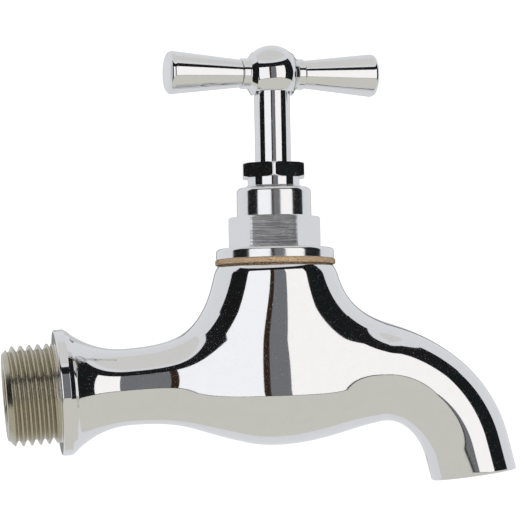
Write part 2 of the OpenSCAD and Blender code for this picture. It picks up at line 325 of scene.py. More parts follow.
class Value:
    """A number socket whose sums and products add Math nodes."""

    def __init__(self, tree: Tree, socket: Socket) -> None:
        """Wraps an output socket of a tree."""
        self.tree = tree
        self.socket = socket

    def _math(self, operation: str, a: "Value | float", b: "Value | float") -> "Value":
        """Adds a Math node on two values."""
        node = self.tree.nodes.new("ShaderNodeMath")
        node.operation = operation
        for slot, v in zip(node.inputs, (a, b)):
            if isinstance(v, Value):
                self.tree.links.new(v.socket, slot)
            else:
                slot.default_value = v
        return Value(self.tree, node.outputs[0])

    def __add__(self, other: "Value | float") -> "Value":
        """The sum."""
        return self._math("ADD", self, other)

    __radd__ = __add__

    def __sub__(self, other: "Value | float") -> "Value":
        """The difference."""
        return self._math("SUBTRACT", self, other)

    def __rsub__(self, other: float) -> "Value":
        """The difference, from a number."""
        return self._math("SUBTRACT", other, self)

    def __mul__(self, other: "Value | float") -> "Value":
        """The product."""
        return self._math("MULTIPLY", self, other)

    __rmul__ = __mul__

    def over(self, edge: float) -> "Value":
        """1 where the value is above the edge, else 0."""
        return self._math("GREATER_THAN", self, edge)

    def root_of_squares(self, other: "Value") -> "Value":
        """The length of the hypotenuse of two values."""
        return self._math("POWER", self * self + other * other, 0.5)


class Paint:
    """Builds one material's node tree."""

    def __init__(self, name: str) -> None:
        """Makes a material with a shader and its object coordinates in millimetres."""
        self.material = bpy.data.materials.new(name)
        self.material.use_nodes = True
        self.tree = self.material.node_tree
        self.tree.nodes.clear()
        self.surface = self.node("ShaderNodeBsdfPrincipled")
        self.node("ShaderNodeOutputMaterial", {}, {"Surface": self.surface.outputs[0]})
        self.place = self.node("ShaderNodeTexCoord").outputs["Object"]

    def node(self, kind: str, settings: dict | None = None, inputs: dict | None = None) -> bpy.types.Node:
        """Adds a node.

        Args:
            kind: the node's type.
            settings: its own settings, set first.
            inputs: the value, socket or Value of each named or numbered input.

        Returns:
            The node.
        """
        made = self.tree.nodes.new(kind)
        for key, v in (settings or {}).items():
            setattr(made, key, v)
        for key, v in (inputs or {}).items():
            self.link(made.inputs[key], v)
        return made

    def link(self, slot: Socket, v: object) -> None:
        """Links or sets one input socket."""
        if isinstance(v, Value):
            self.tree.links.new(v.socket, slot)
        elif isinstance(v, Socket):
            self.tree.links.new(v, slot)
        else:
            slot.default_value = v

    def mapped(self, scale: Triple = (1, 1, 1), turn: float = 0) -> Socket:
        """Object coordinates turned about Y, in radians, and stretched, at 1 unit a millimetre."""
        grown = tuple(s / MM for s in scale)
        first = self.node("ShaderNodeMapping", {}, {"Vector": self.place, "Rotation": (0, turn, 0)})
        then = self.node("ShaderNodeMapping", {}, {"Vector": first.outputs[0], "Scale": grown})
        return then.outputs[0]

    def noise(self, at: Socket, scale: float, detail: float = 3, rough: float = 0.5) -> Value:
        """Smooth noise from 0 to 1."""
        inputs = {"Vector": at, "Scale": scale, "Detail": detail, "Roughness": rough}
        made = self.node("ShaderNodeTexNoise", {}, inputs)
        return Value(self.tree, made.outputs[0])

    def blend(self, factor: "Value | float", a: object, b: object) -> Socket:
        """A colour between a and b."""
        made = self.node("ShaderNodeMix", {"data_type": "RGBA"}, {0: factor, 6: a, 7: b})
        return made.outputs[2]

    def axis(self, number: int) -> Value:
        """One object coordinate in millimetres."""
        parts = self.node("ShaderNodeSeparateXYZ", {}, {0: self.place})
        return Value(self.tree, parts.outputs[number]) * (1 / MM)

    def step(self, v: Value, low: float, high: float) -> Value:
        """Rises from 0 to 1 as the value goes from low to high."""
        settings = {"interpolation_type": "SMOOTHSTEP"}
        made = self.node("ShaderNodeMapRange", settings, {0: v, 1: low, 2: high})
        return Value(self.tree, made.outputs[0])

    def bump(self, height: Value) -> None:
        """Sets the shader's normal from a height in millimetres."""
        made = self.node("ShaderNodeBump", {}, {"Height": height, "Distance": MM, "Strength": 1.0})
        self.link(self.surface.inputs["Normal"], made.outputs[0])

    def set(self, **inputs: object) -> None:
        """Sets the shader's inputs, with _ for a space in a name."""
        for key, v in inputs.items():
            self.link(self.surface.inputs[key.replace("_", " ")], v)


class Grain(Enum):
    """How a metal surface was worked."""

    POLISHED = "polished"
    TURNED = "turned"
    CAST_WITH_THREAD = "cast_with_thread"


@dataclass(frozen=True)
class Plating:
    """Bright plated metal."""

    name: str
    colour: Triple = (0.83, 0.835, 0.845)
    roughness: float = 0.035
    ripple: float = 0.012
    grain: Grain = Grain.POLISHED

    def material(self) -> Material:
        """Mirror plate with haze, fine pits and casting ripples, and the marks of its grain."""
        paint = Paint(self.name)
        at = paint.mapped()
        haze = paint.noise(at, 0.35, 4, 0.6)
        fine = paint.noise(at, 6.0, 2)
        wave = paint.noise(at, 0.09, 1)
        pits = fine.over(0.7)
        tone = paint.blend(haze, (*self.colour, 1), (*(c * 0.94 for c in self.colour), 1))
        rough = self.roughness + haze * 0.03 + pits * 0.3
        height = wave * self.ripple + fine * 0.0003
        if self.grain is Grain.TURNED:
            tone, rough, height = self.tool_marks(paint, tone, rough, height)
        if self.grain is Grain.CAST_WITH_THREAD:
            tone, rough, height = self.bare_thread(paint, tone, rough, height)
        paint.set(Base_Color=tone, Metallic=1.0, Roughness=rough)
        paint.bump(height)
        return paint.material

    def tool_marks(self, paint: Paint, tone: object, rough: Value, height: Value) -> tuple:
        """Fine turning lines everywhere, and brushed lines on two opposite flats of the hexagon."""
        lines = paint.noise(paint.mapped((0.05, 0.05, 9), -LEAN), 1.0, 3)
        brushed = paint.noise(paint.mapped((0.16, 0.16, 5), -LEAN), 1.0, 5, 0.75)
        x, z = paint.axis(0) - HEAD.origin[0], paint.axis(2)
        s = z * math.cos(LEAN) + x * math.sin(LEAN)
        above = paint.step(s, FLANGE_TOP_S + 0.02, FLANGE_TOP_S + 0.2)
        below = 1 - paint.step(s, HEX_TOP_S - 0.2, HEX_TOP_S - 0.02)
        middle = math.sin(LEAN) * (FLANGE_TOP_S + HEX_TOP_S) / 2
        out = paint.axis(1) * math.cos(BONNET_TURN) - (x - middle) * math.sin(BONNET_TURN)
        flat = (HEX_ACROSS / 2) ** 2
        flats = above * below * paint.step(out * out, flat - 3.25, flat - 1.75)
        tone = paint.blend(flats * paint.step(brushed, 0.4, 0.6), tone, (0.34, 0.345, 0.35, 1))
        rough = rough + lines * 0.10 + flats * brushed * 0.22
        return tone, rough, height + lines * 0.004 + flats * brushed * 0.02

    def bare_thread(self, paint: Paint, tone: object, rough: Value, height: Value) -> tuple:
        """Dull grey-gold metal with grit on the inlet thread, which the plating leaves bare."""
        reach = paint.axis(1).root_of_squares(paint.axis(2))
        before_flange = 1 - paint.step(paint.axis(0), -0.12, -0.02)
        thread = before_flange * (1 - paint.step(reach, THREAD_R + 0.07, THREAD_R + 0.22))
        grit = paint.noise(paint.mapped(), 2.2, 4, 0.7)
        bare = paint.blend(grit, (0.62, 0.585, 0.49, 1), (0.40, 0.37, 0.29, 1))
        tone = paint.blend(thread, tone, bare)
        return tone, rough + thread * (0.09 + grit * 0.12), height + thread * grit * 0.02


@dataclass(frozen=True)
class Metal:
    """Plain turned metal, such as brass or nickel."""

    name: str
    light: Triple
    dark: Triple
    roughness: float = 0.25

    def material(self) -> Material:
        """Two tones stirred by noise, with fine tool lines round the head axis."""
        paint = Paint(self.name)
        stir = paint.noise(paint.mapped(), 0.8, 5, 0.6)
        lines = paint.noise(paint.mapped((0.05, 0.05, 8), -LEAN), 1.0, 3)
        paint.set(
            Base_Color=paint.blend(stir, (*self.light, 1), (*self.dark, 1)),
            Metallic=1.0,
            Roughness=self.roughness + lines * 0.15,
        )
        paint.bump(lines * 0.006 + stir * 0.004)
        return paint.material


@dataclass(frozen=True)
class Matt:
    """Fibre, packing or rubber."""

    name: str
    light: Triple
    dark: Triple
    roughness: float
    grain: float
    depth: float

    def material(self) -> Material:
        """Two tones in coarse and fine grain, with a rough bump of the same grain."""
        paint = Paint(self.name)
        at = paint.mapped((1, 1, 2.5), -LEAN)
        coarse = paint.noise(at, self.grain, 6, 0.7)
        fine = paint.noise(at, self.grain * 5, 3)
        shade = paint.step(coarse * 0.6 + fine * 0.4, 0.42, 0.6)
        paint.set(
            Base_Color=paint.blend(shade, (*self.dark, 1), (*self.light, 1)),
            Roughness=self.roughness + fine * 0.08,
        )
        paint.bump(coarse * self.depth + fine * self.depth * 0.4)
        return paint.material


# ---- the casting


@dataclass(frozen=True)
class CastingSkin:
    """The blended outer skin: positive inside, zero on the skin, in square millimetres."""

    blend: float = 94.8
    tower_r: float = 12.53
    tower_flare: float = 3.95
    rim_s: float = RIM_S
    flare_len: float = 23.3
    foot_s: float = -3.65
    foot_k: float = 4.0
    pipe_r: float = 8.05
    pipe_x: float = 15.0
    pipe_grow: float = 2.757
    pipe_end_x: float = 39.0
    drop: float = math.radians(9.53)
    bend_x: float = 68.48
    bend_z: float = -1.25
    bend_r: float = 21.1
    bend_end: float = math.radians(80)
    thick_r: float = 11.78
    mouth_r: float = 9.04
    narrow: float = 0.43

    @property
    def bend_centre(self) -> Pair:
        """x and z of the middle of the spout's bend."""
        return (
            self.bend_x - self.bend_r * math.sin(self.drop),
            self.bend_z - self.bend_r * math.cos(self.drop),
        )

    def value(self, p: Array) -> Array:
        """The blended value at points.

        Three soft solids, each a radius squared less the distance squared from its own
        middle line, are joined by blend times the log of the sum of their exponentials.

        Args:
            p: points in the part's frame.

        Returns:
            The value at each point.
        """
        x, y, z = p[..., 0], p[..., 1], p[..., 2]
        s = (x - HEAD.origin[0]) * math.sin(LEAN) + z * math.cos(LEAN)
        t = (x - HEAD.origin[0]) * math.cos(LEAN) - z * math.sin(LEAN)
        side = ramp((self.rim_s - s) / 16) * ramp((x - 17) / 21) * ramp((72 - x) / 18)
        yy = y * y * (1 + self.narrow * side)
        wide = self.tower_r + self.tower_flare * np.maximum(0, self.flare_len - s) / self.flare_len
        tower = wide**2 - t * t - yy - self.foot_k * np.maximum(0, self.foot_s - s) ** 2
        neck = self.pipe_r + self.pipe_grow * (np.maximum(0, x - self.pipe_x) / 20) ** 2
        pipe = neck**2 - z * z - yy - np.maximum(0, x - self.pipe_end_x) ** 2
        cx, cz = self.bend_centre
        dx, dz = x - cx, z - cz
        a = np.arctan2(dx, dz)
        ca, sa = math.cos(self.drop), math.sin(self.drop)
        ce, se = math.cos(self.bend_end), math.sin(self.bend_end)
        run = np.where(
            a < self.drop,
            (x - self.bend_x) * ca - (z - self.bend_z) * sa,
            np.where(
                a > self.bend_end,
                self.bend_r * (self.bend_end - self.drop) + dx * ce - dz * se,
                self.bend_r * (a - self.drop),
            ),
        )
        from_centre = np.where(a > self.bend_end, dx * se + dz * ce, np.hypot(dx, dz))
        before_bend = (x - self.bend_x) * sa + (z - self.bend_z) * ca
        off = np.where(a < self.drop, before_bend, from_centre - self.bend_r)
        thick = self.thick_r + (self.mouth_r - self.thick_r) * ramp((run + 18) / 30)
        spout = thick**2 - off * off - yy - np.maximum(0, -run - 22) ** 2
        top = np.maximum(np.maximum(tower, pipe), spout)
        total = sum(np.exp((v - top) / self.blend) for v in (tower, pipe, spout))
        return top + self.blend * np.log(total)

    def outward(self, p: Array) -> Array:
        """Unit normals: minus the slope of the value, by central differences."""
        h = 1e-3
        slope = np.stack([self.value(p + h * e) - self.value(p - h * e) for e in np.eye(3)], -1)
        return unit(-slope)

    def hit(self, start: Array, way: Array, near: float, far: float) -> Array:
        """Where rays from inside leave the skin, by halving the interval that holds zero.

        Args:
            start: start points.
            way: unit directions.
            near: a distance inside the skin.
            far: a distance outside it.

        Returns:
            Points on the skin.
        """
        low = np.full(way.shape[:-1], near)
        high = np.full(way.shape[:-1], far)
        for _ in range(48):
            mid = (low + high) / 2
            inside = self.value(start + way * mid[..., None]) > 0
            low, high = np.where(inside, mid, low), np.where(inside, high, mid)
        return start + way * low[..., None]


@dataclass
class Casting:
    """The tap's body: inlet thread, wall flange, pipe, belly, tower and spout in one skin."""

    skin: CastingSkin = field(default_factory=CastingSkin)
    columns: int = 192
    bore_r: float = 6.5
    root_r: float = 9.32
    stub_x: float = -10.99
    pitch: float = 1.814
    flange_r: float = 13.2
    spout_bore_r: float = 7.2
    rim_bore_r: float = 10.03
    seat_r: float = 5.0
    seat_foot_s: float = -8.0
    inset: float = 0.02
    mouth: Pair = (86.8, -24.75)
    mouth_tilt: float = math.radians(3.5)
    lip: float = 0.5
    bore_edge: float = 0.35
    line_steps: int = 100
    ease_x: float = 40.0
    hole_x: float = 26.0
    hole_end: int = 102
    tower_rows: int = 60
    buff_len: float = 1.9
    buff_rate: float = 0.12

    def thread_radius(self, x: Array, angle: Array) -> Array:
        """Radius of the helical thread.

        A rounded ridge, high where x less pitch times the turn is a whole number of
        pitches, is cut down by a cone at the entry and fades out before the flange.

        Args:
            x: place along the inlet axis.
            angle: turn about it, by the right-hand rule about +X.

        Returns:
            The radius.
        """
        phase = (x + 10.15) / self.pitch - angle / TAU - 0.5
        away = np.abs(phase - np.round(phase)) * 2
        ridge = np.clip(1.18 - 1.36 * away, 0, 1)
        ridge = ridge * 0.6 + ramp(ridge) * 0.4
        depth = THREAD_R - 0.01 - self.root_r
        full = self.root_r + depth * ridge
        shoulder = ramp((x + 0.95) / 0.4)
        full = full * (1 - shoulder) + (THREAD_R - 0.08) * shoulder
        return np.minimum(full, 9.0 + (x + 11) * 0.95)

    def inlet_rows(self) -> tuple[Array, Array]:
        """Rows from the bore, round the stub's end, over the thread and flange, to the pipe.

        Returns:
            Points, and the angle of each column.
        """
        angle = round_angles(self.columns)
        end_x, lip_r, pipe_r = self.stub_x, self.flange_r - 0.02, self.skin.pipe_r
        inner = soften([(20, self.bore_r, 0), (end_x, self.bore_r, 0.35), (end_x, 8.95, 0)])
        x = np.linspace(-10.96, -0.5, 126)[:, None]
        flange = soften(
            [
                (-0.35, THREAD_R - 0.08, 0),
                (0.0, THREAD_R - 0.08, 0.12),
                (0.0, lip_r, 0.45),
                (2.0, lip_r, 0.22),
                (2.95, lip_r - 0.6, 0.6),
                (3.3, lip_r - 0.84, 0),
            ]
        )[:-1]
        u = np.linspace(0.09, 1, 30)[:, None]
        flare_r = pipe_r - self.inset + (self.flange_r - 0.25 - pipe_r) * (1 - u) ** 2.2
        flare = np.concatenate([2.3 + 12.7 * u, flare_r], 1)[:-1]
        r = self.thread_radius(x, angle[None])
        thread = (r * np.cos(angle), r * np.sin(angle), x + 0 * angle)
        parts = [swept(inner, self.columns), thread, *(swept(p, self.columns) for p in (flange, flare))]
        return INLET.place(*joined(parts)), angle

    def spine(self) -> tuple[Array, Array]:
        """The middle line that the pipe, belly and spout are cast round.

        Straight along the inlet axis, then an easy curve down to the bend, then the bend.

        Returns:
            Points on the line and the up direction square to it at each.
        """
        k = self.skin
        x = np.linspace(k.pipe_x, k.bend_x, self.line_steps)
        span = k.bend_x - self.ease_x
        u = np.clip((x - self.ease_x) / span, 0, 1)
        slope = -math.tan(k.drop)
        z = k.bend_z * (3 * u**2 - 2 * u**3) + slope * span * (u**3 - u**2)
        tilt = np.arctan(np.gradient(z, x))
        tilt[-1] = -k.drop
        flat = np.stack([x, 0 * x, z], -1)
        flat_up = np.stack([-np.sin(tilt), 0 * x, np.cos(tilt)], -1)
        cx, cz = k.bend_centre
        a = np.linspace(k.drop, k.bend_end, 52)[1:]
        bend = np.stack([cx + k.bend_r * np.sin(a), 0 * a, cz + k.bend_r * np.cos(a)], -1)
        bend_up = np.stack([np.sin(a), 0 * a, np.cos(a)], -1)
        return np.concatenate([flat, bend]), np.concatenate([flat_up, bend_up])

    def build(self) -> Piece:
        """Makes the casting as one closed skin with its ways open at the inlet, head and mouth."""
        shell = Shell()
        k = self.skin
        inlet, angle = self.inlet_rows()
        inlet_ids = shell.add(inlet)
        shell.cap(inlet_ids[0], (20, 0, 0), True)

        line, up = self.spine()
        across = np.array([0.0, 1.0, 0.0])
        way = np.cos(angle)[:, None] * across + np.sin(angle)[:, None] * up[:, None, :]
        tube = k.hit(line[:, None, :] + 0 * way, way, 1.0, 40.0)
        tube_n = k.outward(tube)
        tube = tube - tube_n * self.inset
        tube_ids = shell.add(tube, tube_n)
        first = int(np.searchsorted(line[: self.line_steps, 0], self.hole_x))
        last = self.hole_end
        side = self.columns // 6
        j0, j1 = self.columns // 4 - side, self.columns // 4 + side
        keep = np.ones((len(line) - 1, self.columns), bool)
        keep[first:last, j0:j1] = False
        shell.skin(np.concatenate([inlet_ids, tube_ids[:1]]))
        shell.skin(tube_ids, keep=keep)
        self.tower(shell, tube_ids, (first, last, j0, j1))
        self.spout_end(shell, tube_ids[-1], tube[-1], line, up, way)
        return stand_for(shell.build("tap_body"), "body", "root")

    def tower(self, shell: Shell, tube: Array, hole: tuple[int, int, int, int]) -> None:
        """Fills the hole left in the tube with the tower, its rim and the valve chamber.

        Each column turns from its hole point to the rim about the foot of the head axis,
        and each ray is cut off where it leaves the skin. The last buff_len below the rim
        is eased inwards by buff_rate times the square of the height gained there.

        Args:
            shell: what the tower is added to.
            tube: point numbers of the tube's grid.
            hole: the first and last row and column of the hole.
        """
        i0, i1, j0, j1 = hole
        loop = np.concatenate(
            [tube[i1, j1:j0:-1], tube[i1:i0:-1, j0], tube[i0, j0:j1], tube[i0:i1, j1]]
        )
        base = np.concatenate(shell.points)[loop]
        foot = np.array(HEAD.origin)
        t = (base - foot) @ np.array(HEAD.first)
        turn = np.arctan2(base[:, 1], t)
        k = self.skin
        s_top = k.rim_s - 0.3
        ring = lambda r, s: HEAD.place(r * np.cos(turn), r * np.sin(turn), s + 0 * turn)
        axis_point = HEAD.place(0 * turn, 0 * turn, s_top + 0 * turn)
        out = ring(1.0, 0.0) - foot
        rim = k.hit(axis_point, out, 1.0, 30.0)
        a, b = unit(base - foot), unit(rim - foot)
        gap = np.arccos(np.clip((a * b).sum(-1, keepdims=True), -1, 1))
        w = np.linspace(0, 1, self.tower_rows + 1)[1:, None, None]
        way = (np.sin((1 - w) * gap) * a + np.sin(w * gap) * b) / np.sin(gap)
        wall = k.hit(foot + 0 * way, way, 2.0, 60.0)
        wall_n = k.outward(wall)
        wall = wall - wall_n * self.inset
        rise = (wall - foot) @ np.array(HEAD.third)
        buff = np.maximum(0, rise - (s_top - self.buff_len))[..., None]
        wall = wall + unit(axis_point - rim) * self.buff_rate * buff**2
        wall_ids = shell.add(wall, unit(wall_n + 2 * self.buff_rate * buff * np.array(HEAD.third)))
        rim_r = np.linalg.norm(wall[-1] - axis_point, axis=-1)
        rows = [ring(rim_r - d, k.rim_s - h) for d, h in ((0.03, 0.15), (0.12, 0.04), (0.3, 0.0))]
        ledge_s, trough_s = 13.2, -0.8
        inner = soften(
            [
                (k.rim_s, self.rim_bore_r + 0.6, 0),
                (k.rim_s, self.rim_bore_r, 0.2),
                (ledge_s, self.rim_bore_r, 0),
                (ledge_s, 8.0, 0),
                (trough_s, 8.0, 0),
                (trough_s, 6.7, 0),
                (0.0, 6.7, 0.1),
                (0.0, self.seat_r, 0.1),
                (self.seat_foot_s, self.seat_r, 0),
            ]
        )
        rows += [ring(r, s) for s, r in inner]
        rest = shell.add(np.array(rows))
        shell.skin(np.concatenate([loop[None], wall_ids, rest]))
        shell.cap(rest[-1], HEAD.place(0, 0, self.seat_foot_s), False)

    def spout_end(
        self, shell: Shell, ring_ids: Array, ring: Array, line: Array, up: Array, way: Array
    ) -> None:
        """Runs the spout straight to its slanted mouth, rounds the lip and goes back up the bore.

        Args:
            shell: what the rows are added to.
            ring_ids: point numbers of the last ring of the bend.
            ring: its points.
            line: the middle line.
            up: the up direction along it.
            way: unit directions of the columns at each point of the line.
        """
        end, end_up = line[-1], up[-1]
        run = np.array([end_up[2], 0, -end_up[0]])
        square = np.array([math.sin(self.mouth_tilt), 0, -math.cos(self.mouth_tilt)])
        centre = np.array([self.mouth[0], 0, self.mouth[1]])
        reach = lambda p: ((centre - p) @ square / (run @ square))[..., None]
        outer = ring + run * reach(ring)
        bore = end + way[-1] * self.spout_bore_r
        inner = bore + run * reach(bore)
        in_way = unit(inner - outer)
        short = 0.01
        stop = reach(ring) - self.lip - short
        rows = [ring + run * stop * f for f in (0.25, 0.5, 0.75, 0.93, 1.0)]
        for a in np.linspace(0, math.pi / 2, 7)[1:]:
            back, down = 1 - math.cos(a), 1 - math.sin(a)
            rows.append(outer + in_way * self.lip * back - run * (self.lip * down + short))
        for a in np.linspace(0, math.pi / 2, 6):
            back, down = 1 - math.sin(a), 1 - math.cos(a)
            rows.append(inner - in_way * self.bore_edge * back - run * (self.bore_edge * down + short))
        rows += [bore + run * reach(bore) * f for f in (0.6, 0.3, 0.0)]
        upstream = range(len(line) - 4, 80, -4)
        rows += [line[i] + way[i] * self.spout_bore_r for i in upstream]
        ids = shell.add(np.array(rows))
        shell.skin(np.concatenate([ring_ids[None], ids]))
        shell.cap(ids[-1], line[upstream[-1]], False)


# ---- headwork and handle


HEX_COLUMNS = 240
CRISP = 25.0


def hexagon_rows(across: float, rises: Array, ends: Pair, chamfer: float, turn: float) -> Grid:
    """Side surface of a hexagon whose corners are turned off by a cone at both ends.

    The radius is a soft minimum of six flats, each half the width across flats over the
    cosine of the angle from its middle, and of a 30 degree cone from each end.

    Args:
        across: width across flats.
        rises: how far the rows stand from the nearer end, the same at both.
        ends: lowest and highest height.
        chamfer: how far inside the corners the cone meets the end faces.
        turn: angle of the first corner in radians.

    Returns:
        Cosines and sines times radius, and heights, one row each.
    """
    sharpness = 90.0
    angle = round_angles(HEX_COLUMNS)
    heights = np.concatenate([ends[0] + rises, (ends[1] - rises)[::-1]])
    flats = np.stack([np.maximum(1e-3, np.cos(angle - turn - (n + 0.5) * TAU / 6)) for n in range(6)])
    strength = ((flats / (across / 2)) ** sharpness).sum(0)[None]
    corner = across / math.sqrt(3)
    rise = np.minimum(heights - ends[0], ends[1] - heights)[:, None]
    cone = corner - chamfer + rise * math.tan(math.radians(60))
    r = (strength + cone**-sharpness) ** (-1 / sharpness)
    h = heights[:, None] + 0 * angle
    return r * np.cos(angle), r * np.sin(angle), h


@dataclass
class Headwork:
    """Fibre gasket, bonnet, gland nut and spindle stem on the head axis."""

    stem_r: float = 3.8
    gasket_r: float = 12.82
    flange_r: float = 12.48
    packing_r: float = 5.52

    def gasket(self) -> Piece:
        """A flat ring whose outer edge wanders by a few hundredths of a millimetre."""
        angle = round_angles(256)
        wander = 0.05 * np.sin(3 * angle + 1) + 0.04 * np.sin(7 * angle + 2) + 0.02 * np.sin(19 * angle)
        hole_r, middle = 10.1, (RIM_S + GASKET_TOP_S) / 2
        profile = soften(
            [
                (middle, hole_r, 0),
                (RIM_S, hole_r, 0.05),
                (RIM_S, self.gasket_r, 0.22),
                (GASKET_TOP_S, self.gasket_r, 0.22),
                (GASKET_TOP_S, hole_r, 0.05),
                (middle, hole_r, 0),
            ]
        )[:-1]
        h, r = profile[:, :1], profile[:, 1:]
        outer = ramp((r - 10.5) / 2)
        radius = r + outer * (wander - 0.1)
        level = h + 0.03 * np.sin(4 * angle) * outer * (h > middle + 0.2)
        shell = Shell()
        ids = shell.add(HEAD.place(radius * np.cos(angle), radius * np.sin(angle), level))
        shell.skin(ids, along=True)
        return stand_for(shell.build("fibre_gasket"), "head_gasket", "root")

    def bonnet(self) -> Piece:
        """Flange, chamfered hexagon, round collar and small raised lip, as one ring."""
        foot_s, drive_r, lip_s = GASKET_TOP_S - 10.5, 5.1, COLLAR_TOP_S + 0.38
        base = soften(
            [
                (foot_s, drive_r, 0),
                (foot_s, 9.9, 0.3),
                (GASKET_TOP_S, 9.9, 0),
                (GASKET_TOP_S, self.flange_r, 0.15),
                (FLANGE_TOP_S, self.flange_r, 0.75),
                (FLANGE_TOP_S, 9.4, 0),
            ]
        )
        top = soften(
            [
                (HEX_TOP_S, 8.3, 0),
                (HEX_TOP_S, 7.9, 0.1),
                (COLLAR_TOP_S, 7.88, 1.05),
                (COLLAR_TOP_S, 5.95, 0.05),
                (lip_s, 5.85, 0.2),
                (lip_s, self.packing_r, 0),
                (30.0, self.packing_r, 0),
                (30.0, self.stem_r + 0.04, 0),
                (27.6, self.stem_r + 0.04, 0),
                (27.6, drive_r, 0),
            ]
        )
        rises = np.concatenate([np.linspace(0.0, 0.9, 16), np.linspace(1.2, 3.0, 4)])
        ends = (FLANGE_TOP_S + 0.01, HEX_TOP_S)
        sides = hexagon_rows(HEX_ACROSS, rises, ends, 0.55, BONNET_TURN)
        return self.nut("bonnet_head", "bonnet", (base, sides, top))

    def gland(self) -> Piece:
        """Neck and small chamfered hexagon of the gland nut, as one ring."""
        low, high = COLLAR_TOP_S + 2, COLLAR_TOP_S + 5.1
        base = np.array([(34.5, 3.85), (34.5, 5.48), (low, 5.48), (low, 6.1)])
        top = np.array([(high, 6.05), (high, 5.0), (high, 4.15), (high - 0.25, 3.85)])
        rises = np.concatenate([np.linspace(0, 0.75, 14), [1.1, 1.4]])
        sides = hexagon_rows(13.0, rises, (low, high), 0.5, GLAND_TURN)
        return self.nut("gland_nut_head", "gland_nut", (base, sides, top))

    def nut(self, name: str, node: str, parts: tuple) -> Piece:
        """A closed ring made of a profile, the sides of a hexagon and another profile."""
        base, sides, top = parts
        shell = Shell()
        grid = joined([swept(base, HEX_COLUMNS), sides, swept(top, HEX_COLUMNS)])
        shell.skin(shell.add(HEAD.place(*grid)), along=True)
        return stand_for(shell.build(name, CRISP), node, "root")

    def stem(self) -> Piece:
        """The spindle: drive thread as fine ridges, plain stem and the tang inside the hub."""
        lead, start = 2.0, 5.6
        ridges = np.arange(start, 21.4, 0.25)
        wave = 4.93 - 0.45 * np.abs(((ridges - start) % lead) - lead / 2)
        tang_s, top_s = 59.85, 66.5
        profile = np.concatenate(
            [
                np.array([(17.0, 0), (17.0, 2.45), (5.1, 2.45), (5.1, 4.4)]),
                np.stack([ridges, wave], -1),
                soften(
                    [
                        (21.9, 4.6, 0),
                        (22.0, self.stem_r, 0.1),
                        (tang_s, self.stem_r, 0),
                        (tang_s, 3.0, 0),
                        (top_s, 3.0, 0.3),
                        (top_s, 0, 0),
                    ]
                ),
            ]
        )
        shell = Shell()
        turned(shell, HEAD, profile, 128)
        return stand_for(shell.build("spindle_stem", CRISP), "spindle", "spindle")


@dataclass
class Handle:
    """Ball hub with side bosses, and two tapered grips."""

    hub_r: float = 6.08
    foot_s: float = 59.8
    boss_r: float = 3.25
    boss_x: float = 6.88
    half: float = 23.18
    grip_r0: float = 2.93
    grip_r1: float = 4.64

    def hub(self) -> Piece:
        """A ball with a flat foot, and a boss each side that swells into the ball."""
        shell = Shell()
        start = math.asin((self.foot_s - HUB_S) / self.hub_r)
        a = np.linspace(start, math.pi / 2, 72)
        ball = np.stack([HUB_S + self.hub_r * np.sin(a), self.hub_r * np.cos(a)], -1)
        s0, r0 = self.foot_s, ball[0, 1]
        foot = np.array([(s0, 0), (s0, r0 - 0.35), (s0, r0 - 0.2), (s0 + 0.04, r0 - 0.05)])
        ball[-1, 1] = 0
        turned(shell, HEAD, np.concatenate([foot, ball[1:]]), 192)
        for sign in (-1.0, 1.0):
            profile = soften(
                [
                    (3.5, 0, 0),
                    (4.2, 4.6, 0),
                    (5.25, self.boss_r, 0.5),
                    (self.boss_x, self.boss_r, 0.22),
                    (self.boss_x, 0, 0),
                ],
                8,
            )
            turned(shell, bar_axes(sign), profile, 96)
        return stand_for(shell.build("handle_ball", CRISP), "handle_hub", "spindle")

    def grip(self, side: str, sign: float) -> Piece:
        """A tapered grip with a crowned end.

        Args:
            side: left or right.
            sign: which way along the bar it points.

        Returns:
            The piece.
        """
        profile = soften(
            [
                (self.boss_x, 0, 0),
                (self.boss_x, self.grip_r0, 0.25),
                (self.half - 0.35, self.grip_r1, 0.95),
                (self.half, 0, 0),
            ],
            10,
        )
        crown_h, crown_r = profile[-2]
        a = np.linspace(0, math.pi / 2, 10)[1:, None]
        dome = np.concatenate([crown_h + (self.half - crown_h) * np.sin(a), crown_r * np.cos(a)], 1)
        dome[-1, 1] = 0
        shell = Shell()
        turned(shell, bar_axes(sign), np.concatenate([profile[:-1], dome]), 128)
        return stand_for(shell.build(f"bar_grip_{side}", 35), f"grip_{side}", "spindle")


# ---- studio


